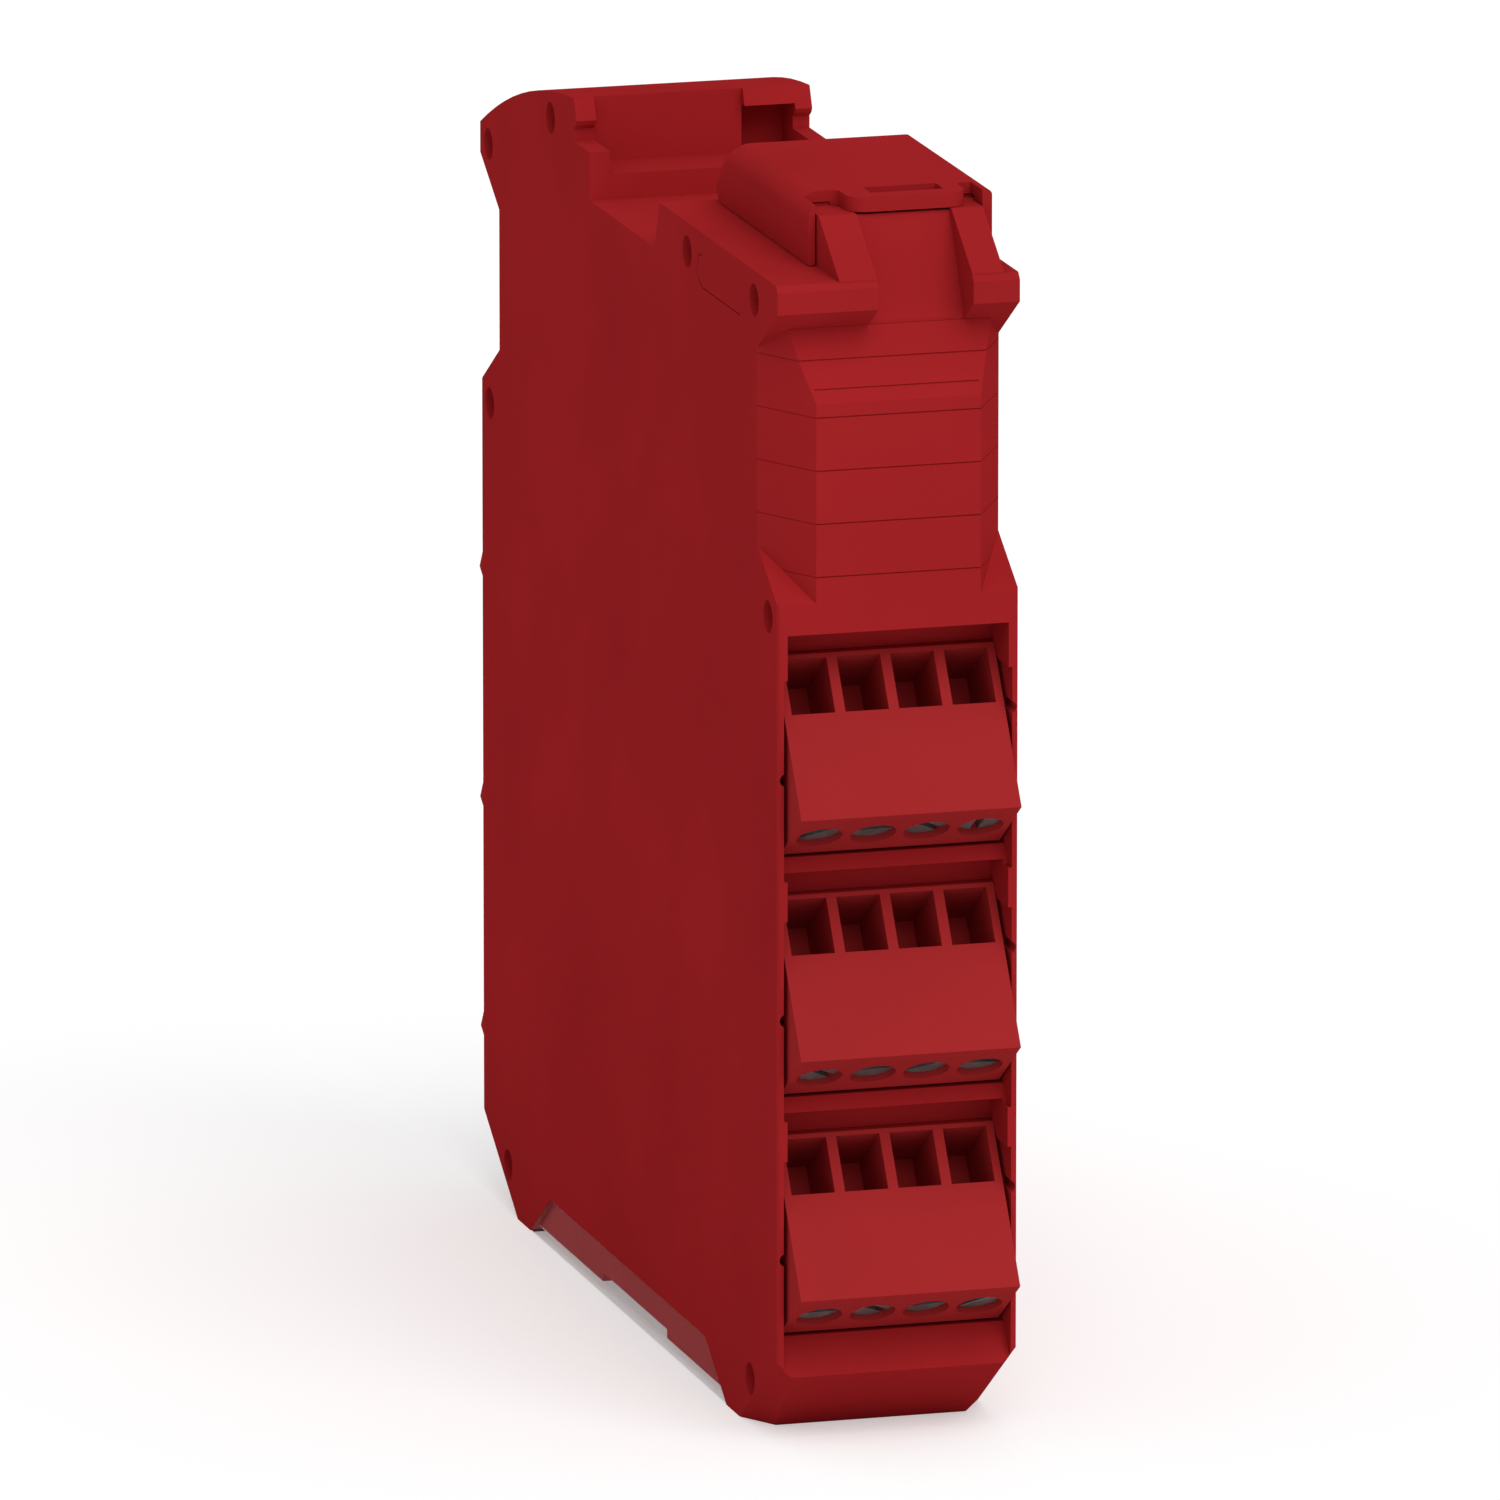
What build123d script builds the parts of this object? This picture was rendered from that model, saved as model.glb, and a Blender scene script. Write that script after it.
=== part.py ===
from build123d import *
import os
from math import atan2, cos, degrees, radians, sin

# Safety controller module for a 35 mm rail, standing on its flat front face.
# X runs across the module's width and Y from the near terminal end to the far one.
# Z runs from the front face at zero up to the rail side. All sizes are millimetres.

# Overall form
WIDTH = 22.5
LENGTH = 100.0
NOSE_RISE = 8.15            # height of the sloping corner at each end of the front face
NOSE_RUN = 12.3
EDGE_ROUND = 0.5
COVER_WALL = 1.4            # flat side cover at -X
SHELL_WALL = 1.6

# Rail side
SEAT_Z = 106.9              # rail flanges rest on this level
FLOOR_Z = 102.4
GROOVE_HEIGHT = 1.15
LIP_REACH = 0.9
LIP_TOP_Z = 110.9
HOOK_WALL_Y = 17.5          # the rail's far edge stops here
HOOK_END_Z = 102.4
SEAT_LENGTH = 5.45
RIDGE_END_Y = -11.4
LIP_SIDE = 1.9              # width of the narrow lip beside the side cover
LIP_RIGHT = 1.6
LIP_WIDE_X = 4.85           # the wide lip starts here and runs to the right face
LIP_PLATE = 1.5
LIP_POCKET = 3.5
LOW_LEDGE_Z = 104.8

# Waists above the terminals
WAIST_DEPTH = 6.6
SHOULDER_Z = 77.8
WAIST_LOW_Z = 82.0
NEAR_WAIST_HIGH_Z = 100.1
FAR_WAIST_HIGH_Z = 95.3
WAIST_SLOPE = 4.2
COLUMN_HALF = 7.65          # half width of the ribbed column's front
LAYER_PITCH = 4.85
LAYER_GROOVE = 0.12
LAYER_TOP_Z = 99.6

# Pluggable terminal blocks, three at each end
LEVELS = 3
POLES = 4
LEVEL_PITCH = 22.13
POLE_PITCH = 5.0
PLUG_WIDTH = 20.5
PLUG_NOSE_OUT = 4.3         # the corner stands out this far past the end face
PLUG_NOSE_Z = 59.0          # corner height on the highest level
PLUG_TILT = 33.7            # the wire face leans back by this angle
PLUG_FACE = 15.9
PLUG_UNDER = 8.3
PLUG_DEPTH = 12.4
ENTRY_WIDTH = 4.05
ENTRY_HEIGHT = 5.33
ENTRY_START = 10.15
ENTRY_DEPTH = 7.7
SCREW_SET_BACK = 4.5
SCREW_HEAD_R = 2.05
SCREW_HEAD_T = 1.6
SCREW_SUNK = 1.1
SCREW_SHANK_R = 1.25
SCREW_SLOT = 0.7
SLOT_TURNS = ((35, 4, -40, 88), (-42, 6, 30, -5), (3, -40, 8, 38))
FIT = 0.05                  # running clearance round pins, screws and slides
PLATE_START = 2.0           # clamp plate and contact strip of one pole
PLATE_T = 0.5
STRIP_HALF = 1.1
CONTACT_HOLE = 2.6

# Terminal recesses in the end faces
RECESS_SIDE = 0.61
RECESS_TOP_Z = 75.0
RECESS_DEPTH = 12.6
CEILING_DEPTH = 5.6
STEP_SIDE = 0.34            # the side walls are this much thicker above a plug
STEP_HEIGHT = 4.1
STEP_REACH = 3.3
NOTCH_R = 0.6               # half-round release notches in the side walls
NOTCH_BITE = 0.38
NOTCH_DEPTH = 3.0
LEFT_NOTCH_Z = 61.8
RIGHT_NOTCH_Z = 67.2
SILL_SET_BACK = 1.4
SILL_DROP = 0.45            # the sill's front edge lies this far below the next ceiling
SILL_FRONT_Z = 6.6
SHELF_GAP = 0.25

# Foot that locks the rail
FOOT_LEFT_X = -6.15
FOOT_RIGHT_X = 10.95
FOOT_TOP_Z = 113.0
FOOT_PLATE = 1.0
FOOT_SKIRT = 0.61
FOOT_SKIRT_RIGHT = 0.4
FOOT_ROUND = 2.8
TRAY_ROUND = 1.3
FOOT_NEAR_Y = -42.3
FOOT_NOTCH_Y = -38.6
FOOT_CREST_Y = -16.6
FOOT_TIP_Y = -12.1
FOOT_TIP_Z = 108.2
FOOT_HEEL_Y = -19.5
FOOT_TRAVEL = 6.0
FOOT_GAP = 0.1
FOOT_SLOT_X = (0.05, 6.85)
FOOT_SLOT_Y = (-40.8, -38.3)
SKIRT_HOOK = 0.4            # the skirts reach this far into the guide's side grooves
TONGUE_LEFT_X = -2.7
TONGUE_RIGHT_X = 7.3
TONGUE_Y = -47.1
GUIDE_END_Y = FOOT_HEEL_Y - FOOT_TRAVEL - 0.2
CHANNEL_LEFT_X = -1.9
CHANNEL_RIGHT_X = 6.95
APRON_LOW_Y = -46.8
APRON_HIGH_Y = -46.2
SPRING_R = 1.9
SPRING_WIRE = 0.5
SPRING_SEAT_Y = -37.5
SPRING_TURNS = 7

# Clear cover over the front face
CLEAR_PLATE = 0.6
CLEAR_FLANK = 0.7
CLEAR_HALF = 33.3
CLEAR_HEIGHT = 4.6
CLEAR_LIFT = 0.12
GRIP_NEAR_Y = -11.5
GRIP_FAR_Y = 10.2
GRIP_Z = 1.6

# Locating posts of the shell, seen in the side cover's holes
POST_R = 1.45
POST_SUNK = 1.0
END_POST_Y = 46.9
END_POST_Z = 76.2
NOSE_POST_Y = 41.1
NOSE_POST_Z = 4.4
RIDGE_POST_Z = 104.2

# Line engraved in the side cover, as (y, z) points
HAIRLINE = ((-25.3, 104.9), (-24.3, 104.6), (-23.8, 103.5), (-24.1, 102.5), (-25.65, 101.9), (-37.8, 101.9))
LINE_WIDTH = 0.15
LINE_DEPTH = 0.1

# Boards and what they carry
BOARD_T = 1.6
BOARD_X = 5.2
TERMINAL_BOARD_Y = 30.0     # inner face, measured from the middle of the module
PIN_SIDE = 1.0
HEADER_OVERLAP = 0.4
FRONT_BOARD_Z = 12.0
DIAL_R = 3.0
DIAL_TOP_GAP = 0.3
DIAL_Y = 9.0
RELAY_LENGTH = 28.0
RELAY_HEIGHT = 15.0
RELAY_WIDTH = 12.6
RELAY_LOW_Z = 62.0
MAIN_BOARD_TOP_Z = 97.0
TERMINAL_BOARD_Z = (8.0, 76.0)
CONVERTER_DEPTH = 10.5
CONVERTER_Y = (-24.0, -8.0)
CONVERTER_Z = (26.0, 50.0)
CAN_R = 5.0
CAN_LENGTH = 11.0
CAN_GROOVE = 0.4
CAN_Y = (4.0, 18.0)
CAN_Z = 38.0
PIPE_R = 1.0
KNOB_HEIGHT = 3.6
STEM_R = 1.6
STANDING = (Align.CENTER, Align.CENTER, Align.MIN)

LEFT = -WIDTH / 2
RIGHT = WIDTH / 2
SPLIT_X = LEFT + COVER_WALL
END = LENGTH / 2
TILT = radians(PLUG_TILT)
CORNER = (-END - PLUG_NOSE_OUT, PLUG_NOSE_Z)


def prism(outline, x_low, x_high):
    """A closed outline of (y, z) points, extruded across the module."""
    wire = Plane.YZ.offset(x_low) * Polyline(*outline, close=True)
    return extrude(make_face(wire), x_high - x_low, dir=(1, 0, 0))


def block(x_range, y_range, z_range):
    """A rectangular solid given by its low and high faces."""
    lows, highs = zip(x_range, y_range, z_range)
    sizes = [high - low for low, high in zip(lows, highs)]
    middle = [(high + low) / 2 for low, high in zip(lows, highs)]
    return Pos(*middle) * Box(*sizes)


def level_drop(level):
    """How far a level lies below the highest one."""
    return level * LEVEL_PITCH


def far_copy(shape):
    """The same shape at the far terminal end."""
    return mirror(shape, about=Plane.XZ)


def side_outline():
    """The housing's outline seen from the side, with the hook's top as one arc."""
    lip_z = SEAT_Z + GROOVE_HEIGHT
    low = Polyline(
        (HOOK_WALL_Y, LIP_TOP_Z),
        (HOOK_WALL_Y - LIP_REACH, lip_z + 0.85),
        (HOOK_WALL_Y - LIP_REACH + 0.3, lip_z + 0.4),
        (HOOK_WALL_Y, lip_z),
        (HOOK_WALL_Y, SEAT_Z),
        (HOOK_WALL_Y - SEAT_LENGTH, SEAT_Z),
        (HOOK_WALL_Y - SEAT_LENGTH, FLOOR_Z),
        (RIDGE_END_Y + 1.7, FLOOR_Z),
        (RIDGE_END_Y, SEAT_Z),
        (-END + 0.55, SEAT_Z),
        (-END, SEAT_Z - 0.6),
        (-END, NEAR_WAIST_HIGH_Z + WAIST_SLOPE),
        (-END + WAIST_DEPTH, NEAR_WAIST_HIGH_Z),
        (-END + WAIST_DEPTH, WAIST_LOW_Z),
        (-END, SHOULDER_Z),
        (-END, NOSE_RISE),
        (-END + NOSE_RUN, 0),
        (END - NOSE_RUN, 0),
        (END, NOSE_RISE),
        (END, SHOULDER_Z),
        (END - WAIST_DEPTH, WAIST_LOW_Z),
        (END - WAIST_DEPTH, FAR_WAIST_HIGH_Z),
        (END, FAR_WAIST_HIGH_Z + WAIST_SLOPE),
        (END, HOOK_END_Z),
    )
    crest = ThreePointArc((END, HOOK_END_Z), (36.1, 107.7), (HOOK_WALL_Y, LIP_TOP_Z))
    return make_face(Plane.YZ.offset(LEFT) * (low + crest))


def chin():
    """The bulged lower corner below the near terminals, with faceted sides."""
    middle_run = 8.5
    facet = 2.3
    wedge = prism(
        [(-END, NOSE_RISE), (-END, SILL_FRONT_Z), (-END + middle_run, 0), (-END + NOSE_RUN, 0)],
        LEFT, RIGHT,
    )
    for side in (-1, 1):
        top = Vector(side * RIGHT, -END, NOSE_RISE)
        back = Vector(side * RIGHT, -END + NOSE_RUN, 0)
        front = Vector(side * (RIGHT - facet), -END + middle_run, 0)
        outward = (back - top).cross(front - top)
        if outward.X * side < 0:
            outward = -outward
        cutter = Plane(origin=top, z_dir=outward) * Box(90, 90, 20, align=STANDING)
        wedge -= cutter
    return wedge


def ribbed_column(high_z):
    """The layered column that fills a waist, narrower in front, with a hairline between layers."""
    front = -END
    back = -END + WAIST_DEPTH
    plan = [(LEFT, back + 3), (LEFT, back), (-COLUMN_HALF, front),
            (COLUMN_HALF, front), (RIGHT, back), (RIGHT, back + 3)]
    base = make_face(Plane.XY.offset(SHOULDER_Z) * Polyline(*plan, close=True))
    column = extrude(base, high_z + 2.2 - SHOULDER_Z)
    column &= prism([(front - 1, SHOULDER_Z - 1), (front - 1, high_z - 4.1), (front, high_z - 4.1),
                     (front + 1.9, high_z - 0.65), (front + 3.1, high_z + 2.2), (-END + 12, high_z + 2.2),
                     (-END + 12, SHOULDER_Z - 1)], LEFT - 1, RIGHT + 1)
    inset = Pos(0, LAYER_GROOVE, 0) * column
    top = LAYER_TOP_Z + high_z - NEAR_WAIST_HIGH_Z
    levels = [(top - index * LAYER_PITCH, RIGHT) for index in range(4)]
    if high_z == NEAR_WAIST_HIGH_Z:
        levels.append((top - 4 * LAYER_PITCH, RIGHT))
    levels.append((top - LAYER_PITCH / 2, COLUMN_HALF))
    for z, half in levels:
        slab = block((-half, half), (front - 1, back + 4), (z - LAYER_GROOVE / 2, z + LAYER_GROOVE / 2))
        column -= (column & slab) - inset
    return column


def terminal_recess():
    """The pocket of one end: three plug bays, open in front, parted by sloping shelves."""
    inner = RIGHT - RECESS_SIDE
    bays = []
    for level in range(LEVELS):
        drop = level_drop(level)
        top = RECESS_TOP_Z - drop
        plug_top = plug_outline(level)[1][1]
        rim_y, plug_low = plug_outline(level)[4]
        shelf = plug_low - SHELF_GAP
        lowest = level == LEVELS - 1
        sill = (-END, SILL_FRONT_Z) if lowest else (-END + SILL_SET_BACK, top - LEVEL_PITCH - SILL_DROP)
        back = -END + RECESS_DEPTH
        ceiling_y = -END + CEILING_DEPTH
        bay = prism([(-END - 6, top), (ceiling_y, top), (ceiling_y, plug_top + SHELF_GAP),
                     (back, plug_top + SHELF_GAP), (back, shelf), (rim_y - SHELF_GAP, shelf),
                     sill, (-END - 6, sill[1])], -inner, inner)
        step_low = top - STEP_HEIGHT
        for side in (-1, 1):
            edges = sorted((side * inner, side * (inner - STEP_SIDE)))
            bay -= prism([(-END, top), (ceiling_y, top), (ceiling_y, plug_top + SHELF_GAP),
                          (-END + STEP_REACH, step_low), (-END, step_low)], *edges)
        bays.append(bay)
    for level in range(1, LEVELS):
        top = RECESS_TOP_Z - level_drop(level)
        slant = prism([(-END - 6, top - 0.01), (-END, top - 0.01), (-END + SILL_SET_BACK, top + 0.01),
                       (-END + SILL_SET_BACK, top + 3), (-END - 6, top + 3)], -inner, inner)
        bays.append(slant)
    for level in range(LEVELS):
        for side, z in ((-1, LEFT_NOTCH_Z), (1, RIGHT_NOTCH_Z)):
            bar = Rot(90, 0, 0) * Cylinder(NOTCH_R, 2 * NOTCH_DEPTH)
            bays.append(Pos(side * (inner - NOTCH_R + NOTCH_BITE), -END, z - level_drop(level)) * bar)
    recess = bays[0]
    for bay in bays[1:]:
        recess += bay
    return recess


def cavity():
    """The hollow inside the shell, behind the terminal bays and under the rail seat."""
    wall = SHELL_WALL
    inner = END - RECESS_DEPTH
    waist = END - WAIST_DEPTH - wall
    pocket_y = HOOK_WALL_Y + LIP_POCKET + wall
    outline = [
        (-inner + 3, CLEAR_PLATE + wall + 0.6), (inner - 3, CLEAR_PLATE + wall + 0.6), (inner, 5.5),
        (inner, 79.0), (waist, 83.5), (waist, FAR_WAIST_HIGH_Z + 3), (32.0, 105.5),
        (pocket_y, 107.2), (pocket_y, FLOOR_Z - wall), (-waist, FLOOR_Z - wall),
        (-waist, 83.5), (-inner, 79.0), (-inner, 5.5),
    ]
    return prism(outline, SPLIT_X, RIGHT - wall)


def clear_outline(gap):
    """Side view of the clear cover, its ends parallel to the housing's sloping corners."""
    slope = NOSE_RUN / NOSE_RISE
    high = CLEAR_HEIGHT + gap
    top_half = CLEAR_HALF + gap - high * slope
    return [(-CLEAR_HALF - gap, 0), (CLEAR_HALF + gap, 0), (top_half, high), (-top_half, high)]


def tray_room(gap):
    """The space inside the foot's tray as one long bar, smaller by a gap all round."""
    bar = block((FOOT_LEFT_X + FOOT_SKIRT + gap, FOOT_RIGHT_X - FOOT_SKIRT_RIGHT - gap), (-60, FOOT_HEEL_Y),
                (SEAT_Z - 1, FOOT_TOP_Z - FOOT_PLATE - gap))
    crest = bar.edges().filter_by(Axis.Y).sort_by(Axis.Z)[-2:].sort_by(Axis.X)[:1]
    return fillet(crest, TRAY_ROUND)


def guide():
    """The boss that the foot slides on: two sloping ribs and the wall between them."""
    top = FOOT_TOP_Z - FOOT_PLATE
    low = SEAT_Z - 0.5
    rib = [(-END + 0.45, low), (-END + 0.45, SEAT_Z + 0.1), (FOOT_NEAR_Y, top),
           (GUIDE_END_Y, top), (GUIDE_END_Y, low)]
    middle = [(APRON_LOW_Y, FLOOR_Z - 0.1), (APRON_HIGH_Y, top - 0.4), (APRON_HIGH_Y + 0.4, top),
              (GUIDE_END_Y, top), (GUIDE_END_Y, low)]
    solid = prism(rib, FOOT_LEFT_X, CHANNEL_LEFT_X) + prism(rib, CHANNEL_RIGHT_X, FOOT_RIGHT_X)
    solid += prism(middle, CHANNEL_LEFT_X, CHANNEL_RIGHT_X)
    below = block((CHANNEL_LEFT_X, CHANNEL_RIGHT_X), (-60, GUIDE_END_Y), (FLOOR_Z - 1, SEAT_Z))
    solid &= tray_room(FIT + FOOT_GAP) + below
    spring_x = (CHANNEL_LEFT_X + CHANNEL_RIGHT_X) / 2
    pocket = SPRING_R + 0.25
    pocket_x = (spring_x - pocket, spring_x + pocket)
    solid -= block(pocket_x, (SPRING_SEAT_Y, GUIDE_END_Y + 1), (spring_z() - pocket, top + 1))
    depth = SKIRT_HOOK + FOOT_GAP
    beside_left = (FOOT_LEFT_X, FOOT_LEFT_X + FOOT_SKIRT + depth)
    beside_right = (FOOT_RIGHT_X - FOOT_SKIRT_RIGHT - depth, FOOT_RIGHT_X)
    for x_range in (beside_left, beside_right):
        solid -= block(x_range, (FOOT_NEAR_Y + 0.5, GUIDE_END_Y + 1), (SEAT_Z, SEAT_Z + 1.3))
    return solid


def spring_z():
    """Height of the foot spring's axis."""
    return (SEAT_Z + FOOT_TOP_Z - FOOT_PLATE) / 2


def envelope():
    """The housing as one block with every outside form, before it is parted and hollowed."""
    body = extrude(side_outline(), WIDTH, dir=(1, 0, 0))
    body += chin()
    body += ribbed_column(NEAR_WAIST_HIGH_Z)
    body += far_copy(ribbed_column(FAR_WAIST_HIGH_Z))
    channel = [(-END - 1, FLOOR_Z + 0.6), (APRON_LOW_Y, FLOOR_Z - 0.1),
               (APRON_HIGH_Y, LIP_TOP_Z + 1), (-END - 1, LIP_TOP_Z + 1)]
    body -= prism(channel, CHANNEL_LEFT_X, CHANNEL_RIGHT_X)
    body += guide()
    seat_y = HOOK_WALL_Y - SEAT_LENGTH
    open_y = (seat_y - 0.01, HOOK_WALL_Y + 0.4)
    pocket_y = (seat_y - 0.01, HOOK_WALL_Y + LIP_POCKET)
    body -= block((LEFT + LIP_SIDE, LIP_WIDE_X), open_y, (LOW_LEDGE_Z, LIP_TOP_Z + 1))
    body -= block((LIP_WIDE_X, RIGHT - LIP_RIGHT), pocket_y, (LOW_LEDGE_Z, LIP_TOP_Z - LIP_PLATE))
    recess = terminal_recess()
    body -= recess
    body -= far_copy(recess)
    pocket = clear_outline(FIT)
    side_depth = CLEAR_FLANK + FIT
    body -= prism(pocket, LEFT - 1, LEFT + side_depth)
    body -= prism(pocket, RIGHT - side_depth, RIGHT + 1)
    plate_z = CLEAR_LIFT + CLEAR_PLATE + FIT
    body -= prism(pocket, LEFT - 1, RIGHT + 1) & block((LEFT - 1, RIGHT + 1), (-END, END), (-1, plate_z))
    grip = ((GRIP_NEAR_Y, GRIP_FAR_Y), (-1, GRIP_Z))
    body -= block((LEFT - 1, LEFT + 2.6), *grip)
    body -= block((RIGHT - 2.6, RIGHT + 1), *grip)
    return body


def rounded_ends(body):
    """Soft upright edges on both end faces, as the mould leaves them."""
    edges = body.edges().filter_by(Axis.Z)
    chosen = [e for e in edges
              if abs(abs(e.center().X) - RIGHT) < 0.01
              and abs(abs(e.center().Y) - END) < 0.01
              and e.center().Z < SHOULDER_Z]
    return fillet(chosen, EDGE_ROUND)


def hairline():
    """A fine line engraved in the side cover beside the ridge, one straight stretch after another."""
    line = []
    for (y_1, z_1), (y_2, z_2) in zip(HAIRLINE, HAIRLINE[1:]):
        run = Vector(y_2 - y_1, z_2 - z_1)
        bar = Box(run.length + LINE_WIDTH, LINE_WIDTH, 2 * LINE_DEPTH)
        place = Pos((y_1 + y_2) / 2, (z_1 + z_2) / 2) * Rot(0, 0, degrees(atan2(run.Y, run.X)))
        line.append(Plane.YZ.offset(LEFT) * place * bar)
    return line


def post_places():
    """Where the shell's eight posts meet the side cover."""
    return [
        (-END_POST_Y, END_POST_Z), (END_POST_Y, END_POST_Z),
        (-NOSE_POST_Y, NOSE_POST_Z), (NOSE_POST_Y, NOSE_POST_Z),
        (-42.4, RIDGE_POST_Z), (-20.5, RIDGE_POST_Z), (25.5, 107.5), (47.1, 100.8),
    ]


def across(y, z, radius, x_low, x_high):
    """A round bar that runs across the module."""
    return Plane.YZ.offset(x_low) * Pos(y, z) * extrude(Circle(radius), x_high - x_low)


def housing():
    """The shell and the flat side cover, parted in one plane and joined by eight posts."""
    body = rounded_ends(envelope())
    big = 150
    cover = body & block((LEFT - 1, SPLIT_X), (-big, big), (-big, big))
    shell = body & block((SPLIT_X, RIGHT + 1), (-big, big), (-big, big))
    shell -= cavity()
    foot_x = SPLIT_X + 6
    for y, z in post_places():
        cover -= across(y, z, POST_R + FIT, LEFT - 1, SPLIT_X + 1)
        boss = across(y, z, POST_R + 1.0, SPLIT_X, foot_x) & body
        post = across(y, z, POST_R, LEFT + POST_SUNK, foot_x) & body
        shell += boss + post
    shell -= dial_wells()
    for stretch in hairline():
        cover -= stretch
    return shell, cover


def dial_places():
    """Centres of the two selector dials behind the front face."""
    return [(0.0, -DIAL_Y), (0.0, DIAL_Y)]


def light_places():
    """Centres of the status lights behind the front face."""
    return [(x, y) for x in (-5.0, 5.0) for y in (-26.0, -21.0, 21.0, 26.0)]


def dial_wells():
    """Round wells in the front face for the dials and the light pipes."""
    wells = None
    for x, y in dial_places():
        well = Pos(x, y, 0) * Cylinder(DIAL_R + FIT, 12, align=(Align.CENTER, Align.CENTER, Align.CENTER))
        wells = well if wells is None else wells + well
    for x, y in light_places():
        wells += Pos(x, y, 0) * Cylinder(PIPE_R + FIT, 12)
    return wells


def face_plane(level):
    """The leaning wire face of a near plug: origin at its lower outer corner, Y up the face."""
    y, z = CORNER
    return Plane(origin=(0, y, z - level_drop(level)), x_dir=(1, 0, 0), z_dir=(0, -cos(TILT), sin(TILT)))


def under_plane(level):
    """The screw face under a near plug, square to the wire face, Y pointing outwards."""
    y, z = CORNER
    return Plane(origin=(0, y, z - level_drop(level)), x_dir=(1, 0, 0), z_dir=(0, -sin(TILT), -cos(TILT)))


def pole_places():
    """X of each pole."""
    return [(index - (POLES - 1) / 2) * POLE_PITCH for index in range(POLES)]


def plug_outline(level):
    """Side view of a plug as (y, z) points."""
    y, z = CORNER
    z -= level_drop(level)
    back = -END + PLUG_DEPTH
    face_end = (y + PLUG_FACE * sin(TILT), z + PLUG_FACE * cos(TILT))
    under_end = (y + PLUG_UNDER * cos(TILT), z - PLUG_UNDER * sin(TILT))
    return [(y, z), face_end, (back, face_end[1]), (back, under_end[1]), under_end]


def plug(level):
    """One moulded plug with four wire entries, four screw wells and four contact holes."""
    solid = prism(plug_outline(level), -PLUG_WIDTH / 2, PLUG_WIDTH / 2)
    face = face_plane(level)
    under = under_plane(level)
    entry_middle = ENTRY_START + ENTRY_HEIGHT / 2
    pin_y, pin_z = pin_place(level)
    for x in pole_places():
        entry = face * Pos(x, entry_middle) * Rectangle(ENTRY_WIDTH, ENTRY_HEIGHT)
        solid -= extrude(entry, -ENTRY_DEPTH)
        well = under * Pos(x, -SCREW_SET_BACK) * Circle(SCREW_HEAD_R + FIT)
        solid -= extrude(well, -(SCREW_SUNK + SCREW_HEAD_T + FIT))
        bore = under * Pos(x, -SCREW_SET_BACK) * Circle(SCREW_SHANK_R + FIT)
        solid -= extrude(bore, -(ENTRY_START + 0.1))
        half = CONTACT_HOLE / 2
        solid -= block((x - half, x + half), (pin_y, -END + PLUG_DEPTH + 1), (pin_z - half, pin_z + half))
        solid -= contact_strip(level, x)
    return solid


def pin_place(level):
    """Where a header pin's tip ends inside a near plug."""
    return (-END + 7.6, PLUG_NOSE_Z - level_drop(level) + 0.6)


def terminal_screw(level, x):
    """A slotted clamp screw, turned to its own angle, sunk in the plug's lower face."""
    at = under_plane(level) * Pos(x, -SCREW_SET_BACK)
    head = at * Pos(0, 0, -SCREW_SUNK) * extrude(Circle(SCREW_HEAD_R), -SCREW_HEAD_T)
    length = ENTRY_START - SCREW_SUNK - SCREW_HEAD_T - FIT
    shank = at * Pos(0, 0, -SCREW_SUNK - SCREW_HEAD_T) * extrude(Circle(SCREW_SHANK_R), -length)
    turn = SLOT_TURNS[level][pole_places().index(x)]
    slot = at * Pos(0, 0, -SCREW_SUNK) * Rot(0, 0, turn) * Box(2 * SCREW_HEAD_R + 1, SCREW_SLOT, 1.6)
    return head + shank - slot


def contact_strip(level, x):
    """A clamp plate on the floor of one entry, bent down behind it as the contact on a header pin."""
    corner_y, corner_z = CORNER
    tip_y, pin_z = pin_place(level)
    floor_y = corner_y + ENTRY_START * sin(TILT)
    floor_z = corner_z - level_drop(level) + ENTRY_START * cos(TILT)
    start = (floor_y + PLATE_START * cos(TILT), floor_z - PLATE_START * sin(TILT))
    end = (floor_y + ENTRY_DEPTH * cos(TILT), floor_z - ENTRY_DEPTH * sin(TILT))
    rise = (PLATE_T * sin(TILT), PLATE_T * cos(TILT))
    low = pin_z + PIN_SIDE / 2 + FIT
    outline = [start, (end[0] - PLATE_T, end[1] + PLATE_T * sin(TILT) / cos(TILT)),
               (end[0] - PLATE_T, low), (end[0], low), end,
               (end[0] + rise[0], end[1] + rise[1]), (start[0] + rise[0], start[1] + rise[1])]
    return prism(outline, x - STRIP_HALF, x + STRIP_HALF)


def clamps(level):
    """The four clamp plates of one plug."""
    return Compound(children=[contact_strip(level, x).solid() for x in pole_places()])


def header(level):
    """The fixed pin strip behind a near plug."""
    low = plug_outline(level)[4][1] - HEADER_OVERLAP
    high = plug_outline(level)[1][1] + HEADER_OVERLAP
    near = -END + RECESS_DEPTH + FIT
    board = -TERMINAL_BOARD_Y - BOARD_T
    solid = block((SPLIT_X + 0.1, RIGHT - SHELL_WALL - 0.1), (near, board), (low, high))
    _, pin_z = pin_place(level)
    half = PIN_SIDE / 2
    for x in pole_places():
        solid -= block((x - half, x + half), (near - 1, board + 1), (pin_z - half, pin_z + half))
    return solid


def header_pins():
    """The twelve square pins of one end, from the plugs through the headers to the board."""
    pins = []
    half = PIN_SIDE / 2
    for level in range(LEVELS):
        tip_y, pin_z = pin_place(level)
        for x in pole_places():
            length_y = (tip_y + 0.2, -TERMINAL_BOARD_Y + 0.8)
            pins.append(block((x - half, x + half), length_y, (pin_z - half, pin_z + half)))
    return Compound(children=[solid for pin in pins for solid in pin.solids()])


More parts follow.
